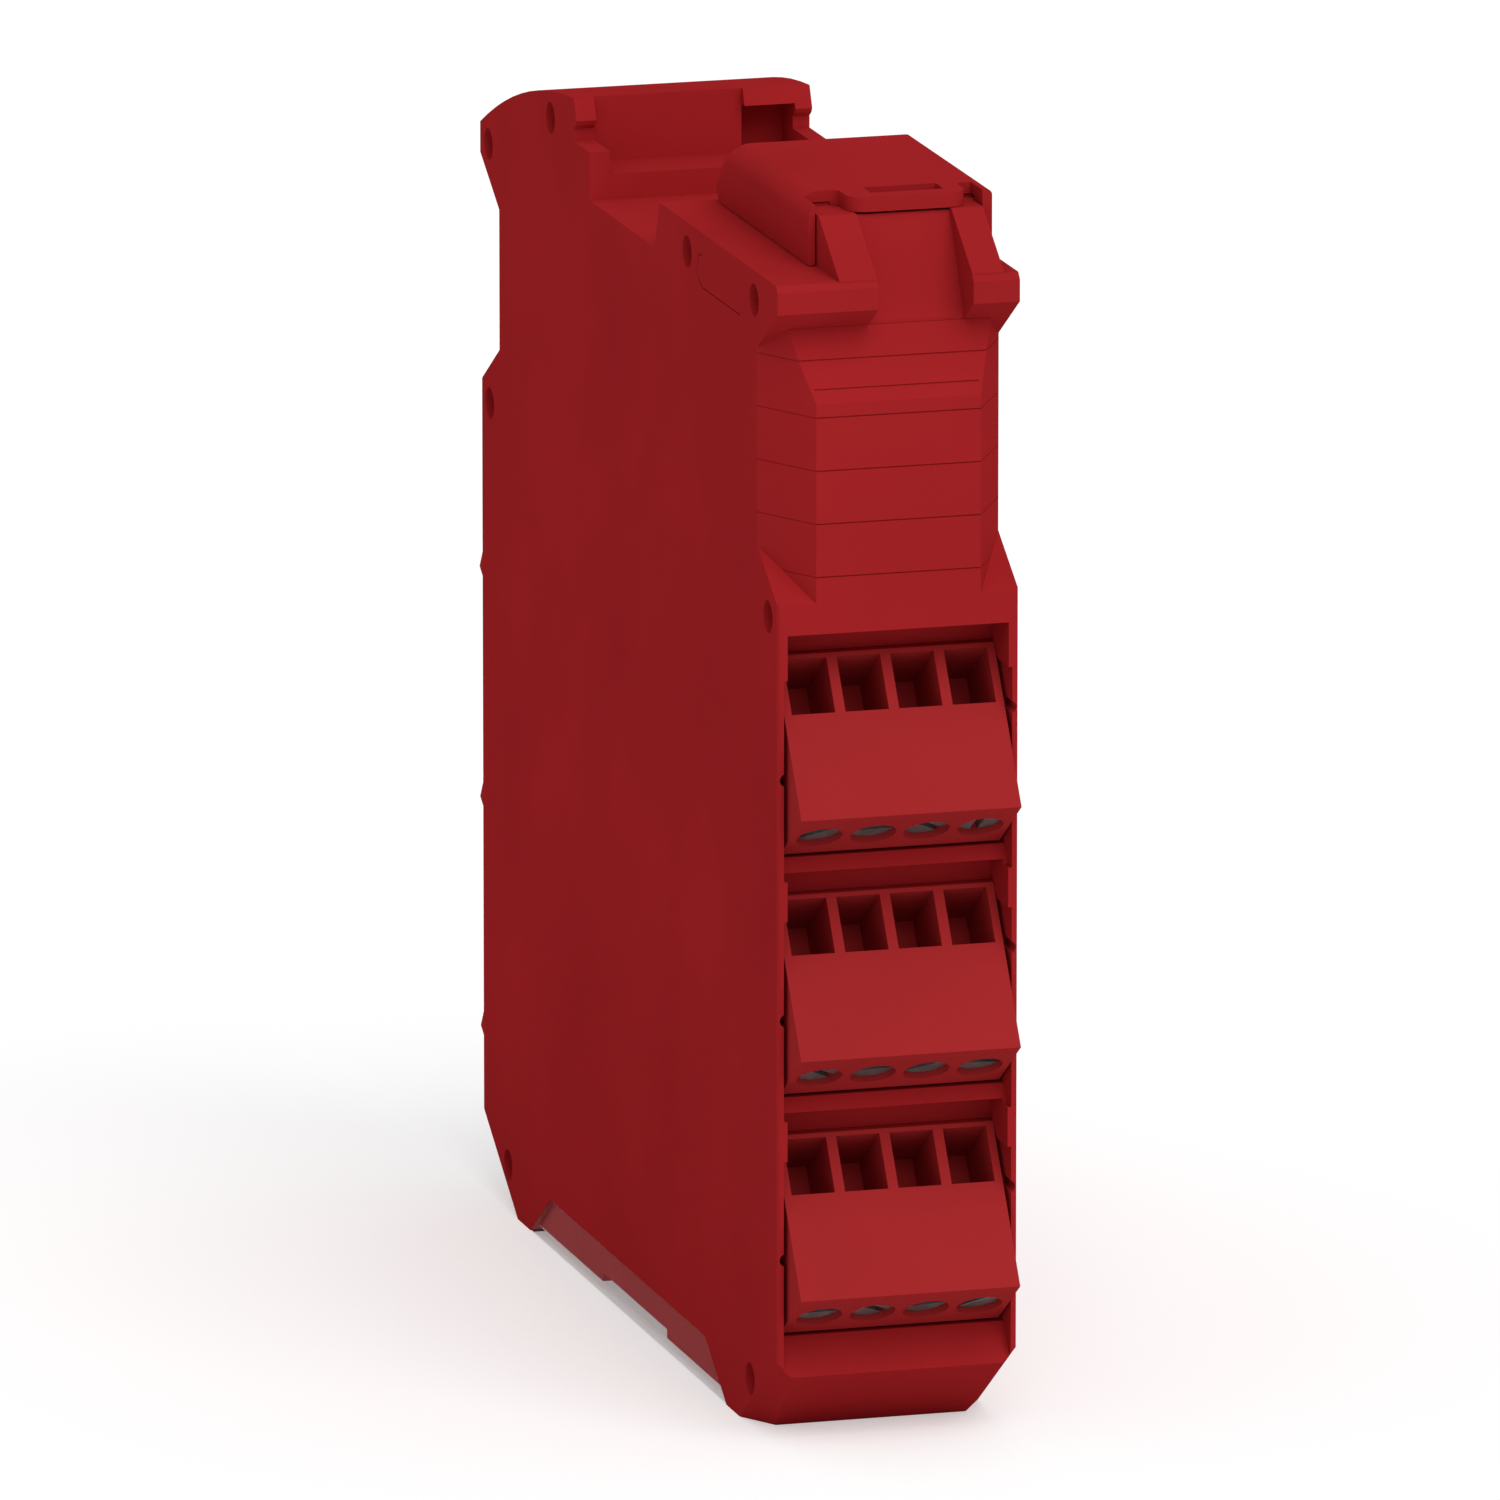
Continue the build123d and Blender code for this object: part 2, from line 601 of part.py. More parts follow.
def terminal_board():
    """The small board that carries the three headers of one end."""
    x_range = (SPLIT_X + 0.6, RIGHT - SHELL_WALL - 0.3)
    solid = block(x_range, (-TERMINAL_BOARD_Y - BOARD_T, -TERMINAL_BOARD_Y), TERMINAL_BOARD_Z)
    half = PIN_SIDE / 2 + FIT
    for level in range(LEVELS):
        _, pin_z = pin_place(level)
        for x in pole_places():
            solid -= block((x - half, x + half), (-END, 0), (pin_z - half, pin_z + half))
    return solid


def main_board():
    """The large board that stands beside the right wall between the two terminal boards."""
    reach = TERMINAL_BOARD_Y - FIT
    return block((BOARD_X, BOARD_X + BOARD_T), (-reach, reach), (FRONT_BOARD_Z + BOARD_T + 0.2, MAIN_BOARD_TOP_Z))


def front_board():
    """The small board behind the front face that carries the dials and the status lights."""
    reach = TERMINAL_BOARD_Y - FIT
    x_range = (SPLIT_X + 1.0, RIGHT - SHELL_WALL - 1.0)
    return block(x_range, (-reach, reach), (FRONT_BOARD_Z, FRONT_BOARD_Z + BOARD_T))


def safety_relay(y):
    """A sealed force-guided relay on the main board."""
    y_range = (y - RELAY_HEIGHT / 2, y + RELAY_HEIGHT / 2)
    body = block((BOARD_X - RELAY_WIDTH, BOARD_X), y_range, (RELAY_LOW_Z, RELAY_LOW_Z + RELAY_LENGTH))
    return fillet(body.edges().filter_by(Axis.X), 0.6)


def power_converter():
    """The potted converter block on the main board."""
    body = block((BOARD_X - CONVERTER_DEPTH, BOARD_X), CONVERTER_Y, CONVERTER_Z)
    return fillet(body.edges().filter_by(Axis.X), 0.8)


def capacitors():
    """Two upright electrolytic cans on the main board, each with its pressed groove."""
    cans = []
    for y in CAN_Y:
        profile = Pos(y, CAN_Z) * Circle(CAN_R)
        can = extrude(Plane.YZ.offset(BOARD_X) * profile, -CAN_LENGTH)
        ring = Plane.YZ.offset(BOARD_X - 2.2) * (profile - Pos(y, CAN_Z) * Circle(CAN_R - CAN_GROOVE))
        can -= extrude(ring, 0.8)
        cans.append(can)
    return Compound(children=[solid for can in cans for solid in can.solids()])


def light_pipes():
    """Clear rods that carry the status lights to the front face, one per light."""
    low = CLEAR_LIFT + CLEAR_PLATE + FIT + 0.25
    pipes = []
    for x, y in light_places():
        rod = Pos(x, y, low) * Cylinder(PIPE_R, FRONT_BOARD_Z - low, align=STANDING)
        pipes.append(rod)
    return Compound(children=[solid for pipe in pipes for solid in pipe.solids()])


def selector_dial(x, y):
    """A rotary selector with a screwdriver slot, its shaft seated on the front board."""
    low = CLEAR_LIFT + CLEAR_PLATE + FIT + DIAL_TOP_GAP
    knob = Pos(x, y, low) * Cylinder(DIAL_R, KNOB_HEIGHT, align=STANDING)
    stem_low = low + KNOB_HEIGHT
    stem = Pos(x, y, stem_low) * Cylinder(STEM_R, FRONT_BOARD_Z - stem_low - FIT, align=STANDING)
    slot = Pos(x, y, low) * Box(5.0, 0.9, 2.0)
    return knob + stem - slot


def front_cover():
    """The clear cover: a thin plate over the front face with a flank down each side."""
    outline = clear_outline(0)
    solid = prism(outline, LEFT + 0.02, RIGHT - 0.02)
    solid &= block((LEFT, RIGHT), (-END, END), (CLEAR_LIFT, CLEAR_HEIGHT))
    inner = RIGHT - CLEAR_FLANK
    solid -= block((-inner, inner), (-END, END), (CLEAR_LIFT + CLEAR_PLATE, CLEAR_HEIGHT + 1))
    return solid


def rail_foot():
    """The sliding foot: a tray over the guide, with a wedge nose for the rail and a slotted tongue."""
    top = FOOT_TOP_Z
    low = SEAT_Z + FOOT_GAP
    plate_low = top - FOOT_PLATE
    nose = [(FOOT_HEEL_Y, low), (FOOT_TIP_Y - 1.0, low), (FOOT_TIP_Y, FOOT_TIP_Z),
            (FOOT_CREST_Y, top), (FOOT_HEEL_Y, top)]
    solid = prism(nose, FOOT_LEFT_X, FOOT_RIGHT_X)
    side = [(FOOT_NEAR_Y, low), (FOOT_NEAR_Y, top - 1.2), (FOOT_NEAR_Y + 1.0, top),
            (FOOT_HEEL_Y, top), (FOOT_HEEL_Y, low)]
    tray = prism(side, FOOT_LEFT_X, FOOT_RIGHT_X)
    left_in = FOOT_LEFT_X + FOOT_SKIRT
    right_in = FOOT_RIGHT_X - FOOT_SKIRT_RIGHT
    solid += tray
    crest = solid.edges().filter_by(Axis.Y).filter_by(lambda e: e.center().Z > top - 0.1)
    solid = fillet(crest.sort_by(Axis.X)[:2], FOOT_ROUND)
    solid -= tray_room(0)
    for wall, inward in ((left_in, 1), (right_in, -1)):
        x_range = sorted((wall, wall + inward * SKIRT_HOOK))
        solid += block(x_range, (FOOT_NEAR_Y + FOOT_TRAVEL + 1.0, FOOT_HEEL_Y), (low, low + 1.0))
    lip = [(-60, plate_low - 0.01), (FOOT_NEAR_Y + 0.4, plate_low - 0.01),
           (FOOT_NOTCH_Y, top), (FOOT_NOTCH_Y, top + 1), (-60, top + 1)]
    solid -= prism(lip, left_in + 0.01, right_in - 0.01)
    left, right = TONGUE_LEFT_X, TONGUE_RIGHT_X
    tongue = [(left - 1.0, FOOT_NOTCH_Y), (left, FOOT_NOTCH_Y - 3.4),
              (left, TONGUE_Y + 1.0), (left + 1.2, TONGUE_Y),
              (right - 1.0, TONGUE_Y), (right, TONGUE_Y + 1.0),
              (right + 1.0, FOOT_NEAR_Y), (right + 1.0, FOOT_NOTCH_Y)]
    solid += extrude(make_face(Plane.XY.offset(plate_low) * Polyline(*tongue, close=True)), FOOT_PLATE)
    return solid - block(FOOT_SLOT_X, FOOT_SLOT_Y, (plate_low - 1, top + 1))


def foot_spring():
    """The compression spring between the guide's pocket and the foot's nose."""
    length = FOOT_HEEL_Y - SPRING_SEAT_Y - 0.1
    radius = SPRING_R - SPRING_WIRE / 2
    path = Helix(pitch=(length - SPRING_WIRE) / SPRING_TURNS, height=length - SPRING_WIRE, radius=radius)
    section = Plane(origin=path @ 0, z_dir=path % 0) * RegularPolygon(SPRING_WIRE / 2, 6)
    coil = sweep(section, path=path, is_frenet=True)
    spring_x = (CHANNEL_LEFT_X + CHANNEL_RIGHT_X) / 2
    place = Location((spring_x, SPRING_SEAT_Y + 0.05 + SPRING_WIRE / 2, spring_z()), (-90, 0, 0))
    return place * coil


def save(name, shape):
    """Write one node."""
    export_step(shape, f"parts/{name}.step")


def main():
    os.makedirs("parts", exist_ok=True)
    shell, cover = housing()
    save("housing_shell", shell)
    save("side_cover", cover)
    save("front_cover", front_cover())
    save("rail_foot", rail_foot())
    save("foot_spring", foot_spring())
    ends = (("near", lambda shape: shape), ("far", far_copy))
    for end, place in ends:
        for level in range(LEVELS):
            number = level + 1
            save(f"{end}_plug_{number}", place(plug(level)))
            save(f"{end}_clamps_{number}", place(clamps(level)))
            save(f"{end}_header_{number}", place(header(level)))
            for index, x in enumerate(pole_places()):
                save(f"{end}_screw_{number}_{index + 1}", place(terminal_screw(level, x)))
        save(f"{end}_header_pins", place(header_pins()))
        save(f"{end}_terminal_board", place(terminal_board()))
    save("main_board", main_board())
    save("front_board", front_board())
    save("safety_relay_1", safety_relay(-12.0))
    save("safety_relay_2", safety_relay(12.0))
    save("power_converter", power_converter())
    save("capacitors", capacitors())
    save("light_pipes", light_pipes())
    for index, (x, y) in enumerate(dial_places()):
        save(f"selector_dial_{index + 1}", selector_dial(x, y))


main()
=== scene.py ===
import math
import bmesh
import bpy
import numpy as np
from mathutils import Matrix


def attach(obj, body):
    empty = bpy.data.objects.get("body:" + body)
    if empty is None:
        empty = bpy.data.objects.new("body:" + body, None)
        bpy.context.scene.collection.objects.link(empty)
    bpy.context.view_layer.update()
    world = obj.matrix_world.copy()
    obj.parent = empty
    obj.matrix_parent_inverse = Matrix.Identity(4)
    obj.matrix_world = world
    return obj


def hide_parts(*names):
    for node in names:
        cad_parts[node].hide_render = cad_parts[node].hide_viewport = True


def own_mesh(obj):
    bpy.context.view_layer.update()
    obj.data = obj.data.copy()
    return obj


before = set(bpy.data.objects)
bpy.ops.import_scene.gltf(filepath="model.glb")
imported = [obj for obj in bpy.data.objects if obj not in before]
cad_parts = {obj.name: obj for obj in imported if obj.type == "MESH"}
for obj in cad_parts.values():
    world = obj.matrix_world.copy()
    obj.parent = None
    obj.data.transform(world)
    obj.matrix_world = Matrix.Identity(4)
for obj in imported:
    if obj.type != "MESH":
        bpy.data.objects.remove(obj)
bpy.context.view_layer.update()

# The module stands on its flat front face on a pale floor, seen through a long lens
# from its near left corner, a little from above.
camera_data = bpy.data.cameras.new("photo_camera")
camera_data.lens = 548.2
camera_data.sensor_width = 36
camera_data.clip_end = 20
camera = bpy.data.objects.new("photo_camera", camera_data)
camera.location = (-0.5614, -1.9597, 0.5264)
camera.rotation_euler = (math.radians(76.92), 0, math.radians(-16.0))
bpy.context.scene.collection.objects.link(camera)
bpy.context.scene.camera = camera
bpy.context.scene.view_settings.view_transform = "Standard"

# One broad soft lamp above the near end, and an even pale room.
lamp_data = bpy.data.lights.new("broad_lamp", "SUN")
lamp_data.energy = 1.2
lamp_data.angle = math.radians(50)
lamp = bpy.data.objects.new("broad_lamp", lamp_data)
lamp.rotation_euler = (math.radians(40), 0, math.radians(8))
bpy.context.scene.collection.objects.link(lamp)

world = bpy.data.worlds.new("pale_room")
world.use_nodes = True
bpy.context.scene.world = world
tree = world.node_tree
background = tree.nodes["Background"]
background.inputs["Color"].default_value = (1, 1, 1, 1)
background.inputs["Strength"].default_value = 0.5
white = tree.nodes.new("ShaderNodeBackground")
white.inputs["Strength"].default_value = 1.0


def seen_rays(tree):
    """One for rays from the camera, through clear plastic or off a glossy surface, else zero."""
    path = tree.nodes.new("ShaderNodeLightPath")
    total = path.outputs["Is Camera Ray"]
    for kind in ("Is Transmission Ray", "Is Glossy Ray"):
        both = tree.nodes.new("ShaderNodeMath")
        both.operation = "MAXIMUM"
        tree.links.new(total, both.inputs[0])
        tree.links.new(path.outputs[kind], both.inputs[1])
        total = both.outputs[0]
    return total


mix = tree.nodes.new("ShaderNodeMixShader")
tree.links.new(seen_rays(tree), mix.inputs[0])
tree.links.new(background.outputs[0], mix.inputs[1])
tree.links.new(white.outputs[0], mix.inputs[2])
tree.links.new(mix.outputs[0], tree.nodes["World Output"].inputs[0])

# The floor is a wide pale sheet. It shows white to the camera and keeps a faint shadow.
floor_mesh = bpy.data.meshes.new("floor")
floor_mesh.from_pydata([(-4, -4, 0), (4, -4, 0), (4, 6, 0), (-4, 6, 0)], [], [(0, 1, 2, 3)])
floor = bpy.data.objects.new("floor", floor_mesh)
bpy.context.scene.collection.objects.link(floor)
floor_material = bpy.data.materials.new("pale_floor")
floor_material.use_nodes = True
tree = floor_material.node_tree
paper = tree.nodes["Principled BSDF"]
paper.inputs["Base Color"].default_value = (0.8, 0.8, 0.8, 1)
paper.inputs["Roughness"].default_value = 0.9
paper.inputs["Specular IOR Level"].default_value = 0.0
glow = tree.nodes.new("ShaderNodeEmission")
glow.inputs["Strength"].default_value = 0.42
nothing = tree.nodes.new("ShaderNodeEmission")
nothing.inputs["Strength"].default_value = 0.0
chosen = tree.nodes.new("ShaderNodeMixShader")
tree.links.new(seen_rays(tree), chosen.inputs[0])
tree.links.new(nothing.outputs[0], chosen.inputs[1])
tree.links.new(glow.outputs[0], chosen.inputs[2])
added = tree.nodes.new("ShaderNodeAddShader")
tree.links.new(paper.outputs[0], added.inputs[0])
tree.links.new(chosen.outputs[0], added.inputs[1])
tree.links.new(added.outputs[0], tree.nodes["Material Output"].inputs[0])
floor_mesh.materials.append(floor_material)


# Housing shell, side cover and rail foot: one red polyamide, moulded against a finely
# spark-eroded tool, so it is matt, with a very slight cloudiness in its colour.
def moulded(name, colour, rough, grain=9000, depth=0.04, cloud=0.06, shine=0.0):
    """Plastic: a slow noise varies its colour by the cloud share, and a fine noise roughens and dimples it."""
    material = bpy.data.materials.new(name)
    material.use_nodes = True
    nodes, links = material.node_tree.nodes, material.node_tree.links
    shader = nodes["Principled BSDF"]
    place = nodes.new("ShaderNodeTexCoord")
    slow = nodes.new("ShaderNodeTexNoise")
    slow.inputs["Scale"].default_value = 45
    slow.inputs["Detail"].default_value = 3
    links.new(place.outputs["Object"], slow.inputs["Vector"])
    tone = nodes.new("ShaderNodeValToRGB")
    tone.color_ramp.elements[0].position = 0.3
    tone.color_ramp.elements[1].position = 0.7
    for element, share in zip(tone.color_ramp.elements, (1 - cloud, 1 + cloud)):
        element.color = tuple(min(1, c * share) for c in colour) + (1,)
    links.new(slow.outputs["Fac"], tone.inputs["Fac"])
    links.new(tone.outputs["Color"], shader.inputs["Base Color"])
    fine = nodes.new("ShaderNodeTexNoise")
    fine.inputs["Scale"].default_value = grain
    fine.inputs["Detail"].default_value = 2
    links.new(place.outputs["Object"], fine.inputs["Vector"])
    spread = nodes.new("ShaderNodeMapRange")
    rough_spread = 0.06
    spread.inputs["To Min"].default_value = rough - rough_spread
    spread.inputs["To Max"].default_value = rough + rough_spread
    links.new(fine.outputs["Fac"], spread.inputs["Value"])
    links.new(spread.outputs[0], shader.inputs["Roughness"])
    bump = nodes.new("ShaderNodeBump")
    bump.inputs["Strength"].default_value = depth
    bump.inputs["Distance"].default_value = 0.0001
    links.new(fine.outputs["Fac"], bump.inputs["Height"])
    links.new(bump.outputs[0], shader.inputs["Normal"])
    shader.inputs["Specular IOR Level"].default_value = shine
    return material


def finish_node(name, material):
    """Puts one material on a CAD node."""
    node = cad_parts[name]
    node.data.materials.clear()
    node.data.materials.append(material)


housing_red = moulded("housing_red", (0.415, 0.0195, 0.0225), 0.6)
finish_node("side_cover", housing_red)


def solid_mesh(name, points, faces):
    """A mesh in metres from points in millimetres: equal points are merged and faces turned outwards."""
    mesh = bpy.data.meshes.new(name)
    mesh.from_pydata((np.asarray(points) / 1000).tolist(), [], [list(face) for face in faces])
    work = bmesh.new()
    work.from_mesh(mesh)
    bmesh.ops.remove_doubles(work, verts=work.verts, dist=1e-7)
    bmesh.ops.recalc_face_normals(work, faces=work.faces)
    work.to_mesh(mesh)
    work.free()
    return mesh


def put(name, mesh, material, body):
    """Adds a piece to the scene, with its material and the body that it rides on."""
    piece = bpy.data.objects.new(name, mesh)
    bpy.context.scene.collection.objects.link(piece)
    mesh.materials.clear()
    mesh.materials.append(material)
    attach(piece, body)
    return piece


def carried(stations):
    """Closed skin: a ring of points is carried from station to station, and its two ends are closed flat."""
    rings = np.asarray(stations, dtype=float)
    count, size = rings.shape[:2]
    row, column = np.meshgrid(np.arange(count - 1), np.arange(size), indexing="ij")
    here = row * size + column
    beside = row * size + (column + 1) % size
    sides = np.stack([here, beside, beside + size, here + size], axis=-1).reshape(-1, 4)
    ends = [list(range(size))[::-1], list(range((count - 1) * size, count * size))]
    return rings.reshape(-1, 3), sides.tolist() + ends


def along_x(outline, x_low, x_high):
    """An outline of (y, z) points carried across the module."""
    outline = np.asarray(outline, dtype=float)
    return carried([np.column_stack([np.full(len(outline), x), outline]) for x in (x_low, x_high)])


def along_z(outline, z_low, z_high):
    """An outline of (x, y) points carried upwards."""
    outline = np.asarray(outline, dtype=float)
    return carried([np.column_stack([outline, np.full(len(outline), z)]) for z in (z_low, z_high)])


def shaped(name, mesh, steps, smooth):
    """Adds to a mesh or cuts from it, one after another, the closed skins given as (how, skin) steps. Where it
    is smooth, only edges sharper than 25 degrees stay visible."""
    base = bpy.data.objects.new(name, mesh)
    bpy.context.scene.collection.objects.link(base)
    tools = []
    for how, skin in steps:
        tool = bpy.data.objects.new(name + "_tool", solid_mesh(name + "_tool", *skin))
        bpy.context.scene.collection.objects.link(tool)
        change = base.modifiers.new(how, "BOOLEAN")
        change.operation = how
        change.solver = "EXACT"
        change.object = tool
        tools.append(tool)
    bpy.context.view_layer.update()
    result = bpy.data.meshes.new_from_object(base.evaluated_get(bpy.context.evaluated_depsgraph_get()))
    for thing in [base] + tools:
        bpy.data.objects.remove(thing)
    result.polygons.foreach_set("use_smooth", np.full(len(result.polygons), smooth))
    if smooth:
        result.set_sharp_from_angle(angle=math.radians(25))
    return result


# The housing shell is a merged copy of the CAD node's mesh, trimmed as the mould has it: a
# leaning apron between two sharp ribs beneath the foot, and close ceilings over the plugs.
merged = bmesh.new()
merged.from_mesh(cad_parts["housing_shell"].data)
bmesh.ops.remove_doubles(merged, verts=merged.verts, dist=1e-7)
merged_mesh = bpy.data.meshes.new("housing_shell_merged")
merged.to_mesh(merged_mesh)
merged.free()
tilt, plug_corner_y, plug_corner_z = math.radians(33.7), -54.3, 59.0
level_pitch, plug_face = 22.13, 15.9
apron_left, apron_right, rib_right = -1.9, 6.95, 9.9
guide_left, guide_right = -5.7, 10.6
apron = [(-47.4, 102.35), (-46.95, 102.35), (-42.3, 111.4), (-41.3, 111.4), (-41.3, 112.3), (-47.4, 112.3)]
crest = [(-44.77, 110.3), (-42.52, 111.85), (-25.9, 111.85), (-25.9, 110.3)]
below_tongue = [(-43.5, 111.6), (-38.4, 111.6), (-38.4, 112.3), (-43.5, 112.3)]
rib_side = [(-50.5, 106.9), (-39.5, 106.9), (-39.5, 112.3), (-50.5, 112.3)]
steps = [
    ("DIFFERENCE", along_x(apron, apron_left, apron_right)),
    ("UNION", along_x(crest, -5.39, -3.9)),
    ("DIFFERENCE", along_x(rib_side, rib_right, guide_right)),
    ("DIFFERENCE", along_x(below_tongue, guide_left, guide_right)),
]
strip_outline = ((44.4, 0.04), (44.4, 0.4), (43.0, 0.4), (43.0, 0.04))
for level in (0, 1, 2):
    plug_top = plug_corner_z + plug_face * math.cos(tilt) - level_pitch * level
    for side in (-1, 1):
        strip = [(side * y, plug_top + z) for y, z in strip_outline]
        steps.append(("UNION", along_x(strip, -10.7, 10.7)))
shell_mesh = shaped("shell_finished", merged_mesh, steps, False)
shell = put("shell_finished", shell_mesh, housing_red, "housing")
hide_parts("housing_shell")

# The foot that locks the rail: a moulded tray with a rounded left crest, a wedge nose and a
# slotted tongue for a screwdriver, which slides on the guide.
foot_left, foot_right, foot_low, foot_top = -6.15, 10.95, 107.0, 113.0
slope_start, slope_length, undercut_start, nose_tip = -16.6, 4.5, -13.1, -12.1


def foot_skin():
    """The tray's cross profile, its crests quarter turns, carried along Y: heights are cut off above the
    straight slope down to the nose's tip and below the straight undercut up to it."""
    round_left, round_right, tip_top, tip_rise = 1.9, 0.5, 108.2, 1.19
    turn = np.linspace(0, math.pi / 2, 9)
    crest_left = np.column_stack([foot_left + round_left - round_left * np.cos(turn),
                                  foot_top - round_left + round_left * np.sin(turn)])
    crest_right = np.column_stack([foot_right - round_right + round_right * np.sin(turn),
                                   foot_top - round_right + round_right * np.cos(turn)])
    profile = np.vstack([[(foot_left, foot_low)], crest_left, crest_right, [(foot_right, foot_low)]])
    stations = []
    for y in np.concatenate([[-42.25, -30.0, -19.5], np.linspace(slope_start, nose_tip, 10)]):
        ceiling = foot_top - max(0, y - slope_start) / slope_length * (foot_top - tip_top)
        floor = foot_low + max(0, y - undercut_start) * tip_rise
        height = np.clip(profile[:, 1], floor, ceiling)
        stations.append(np.column_stack([profile[:, 0], np.full(len(profile), y), height]))
    return carried(stations)


def along_y(outline, y_low, y_high):
    """An outline of (x, z) points carried along the module."""
    across, up = np.asarray(outline, dtype=float).T
    return carried([np.column_stack([across, np.full(len(up), y), up]) for y in (y_low, y_high)])


def rectangle(a_low, a_high, b_low, b_high):
    """The four corners of a rectangle, in order."""
    return [(a_low, b_low), (a_high, b_low), (a_high, b_high), (a_low, b_high)]


room_left, room_right, front_right, room_top, room_low, room_round = -5.54, 10.55, 10.05, 111.95, 106.0, 0.5
bend = np.linspace(0, math.pi / 2, 7)
corner = np.column_stack([room_left + room_round - room_round * np.cos(bend),
                          room_top - room_round + room_round * np.sin(bend)])
room = np.vstack([[(room_left, room_low)], corner, [(room_right, room_top), (room_right, room_low)]])
front_room = np.vstack([[(room_left, room_low)], corner, [(front_right, room_top), (front_right, room_low)]])


def tongue_side(root, side):
    """One side of the tongue in plan: a hollow quarter turn at its root and a round one at its nose."""
    hollow_r, round_r, neck_y, nose_y = 0.7, 1.7, -39.3, -40.95
    turn = np.linspace(0, math.pi / 2, 9)
    neck = np.column_stack([root - side * hollow_r + side * hollow_r * np.sin(turn),
                            neck_y + hollow_r * np.cos(turn)])
    nose = np.column_stack([root + side * (round_r - round_r * np.cos(turn)), nose_y - round_r * np.sin(turn)])
    return np.vstack([neck, nose])


tongue = np.vstack([[(-3.1, -38.0)], tongue_side(-2.4, 1), tongue_side(8.6, -1)[::-1], [(9.3, -38.0)]])
steps = [
    ("DIFFERENCE", along_y(room, -39.7, -19.5)),
    ("DIFFERENCE", along_y(front_room, -60.0, -39.69)),
    ("DIFFERENCE", along_z(rectangle(room_left, front_right, -60, -38.6), 111.0, 114.0)),
    ("UNION", along_z(tongue, 111.65, foot_top)),
    ("DIFFERENCE", along_z(rectangle(0.05, 6.85, -40.8, -38.3), 111.0, 114.0)),
    ("UNION", along_z(rectangle(-5.6, -5.14, -35.3, -19.5), foot_low, 108.0)),
    ("UNION", along_z(rectangle(10.15, 10.6, -35.3, -19.5), foot_low, 108.0)),
]
foot_mesh = shaped("foot_finished", solid_mesh("foot_skin", *foot_skin()), steps, True)
foot = put("foot_finished", foot_mesh, housing_red, "foot")
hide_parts("rail_foot")

# Six pluggable terminal blocks. Their red is a shade paler and whiter than the housing's, and this extra
# paleness is a painted highlight for the lamp's faint sheen on their leaning faces.
terminal_red = moulded("terminal_red", (0.42, 0.026, 0.028), 0.5, grain=7000)
for end in ("near", "far"):
    for level in (1, 2, 3):
        finish_node(f"{end}_plug_{level}", terminal_red)


# Clamp screws of dulled plated steel, each with its slot at its own angle, and the tinned
# clamps, contact strips and pins behind them.
def metal(name, colour, rough, scale, stretch):
    """Metal: a stretched noise varies its roughness and its brightness in streaks."""
    amount, rough_spread = 0.12, 0.1
    material = bpy.data.materials.new(name)
    material.use_nodes = True
    nodes, links = material.node_tree.nodes, material.node_tree.links
    shader = nodes["Principled BSDF"]
    shader.inputs["Metallic"].default_value = 1.0
    place = nodes.new("ShaderNodeTexCoord")
    turn = nodes.new("ShaderNodeMapping")
    turn.inputs["Scale"].default_value = stretch
    links.new(place.outputs["Object"], turn.inputs["Vector"])
    streak = nodes.new("ShaderNodeTexNoise")
    streak.inputs["Scale"].default_value = scale
    streak.inputs["Detail"].default_value = 4
    links.new(turn.outputs[0], streak.inputs["Vector"])
    tone = nodes.new("ShaderNodeValToRGB")
    for element, share in zip(tone.color_ramp.elements, (1 - amount, 1 + amount)):
        element.color = tuple(min(1, c * share) for c in colour) + (1,)
    links.new(streak.outputs["Fac"], tone.inputs["Fac"])
    links.new(tone.outputs["Color"], shader.inputs["Base Color"])
    spread = nodes.new("ShaderNodeMapRange")
    spread.inputs["To Min"].default_value = rough - rough_spread
    spread.inputs["To Max"].default_value = rough + rough_spread
    links.new(streak.outputs["Fac"], spread.inputs["Value"])
    links.new(spread.outputs[0], shader.inputs["Roughness"])
    return material


sin_tilt, cos_tilt = math.sin(tilt), math.cos(tilt)
pole_pitch, screw_set_back = 5.0, 4.5


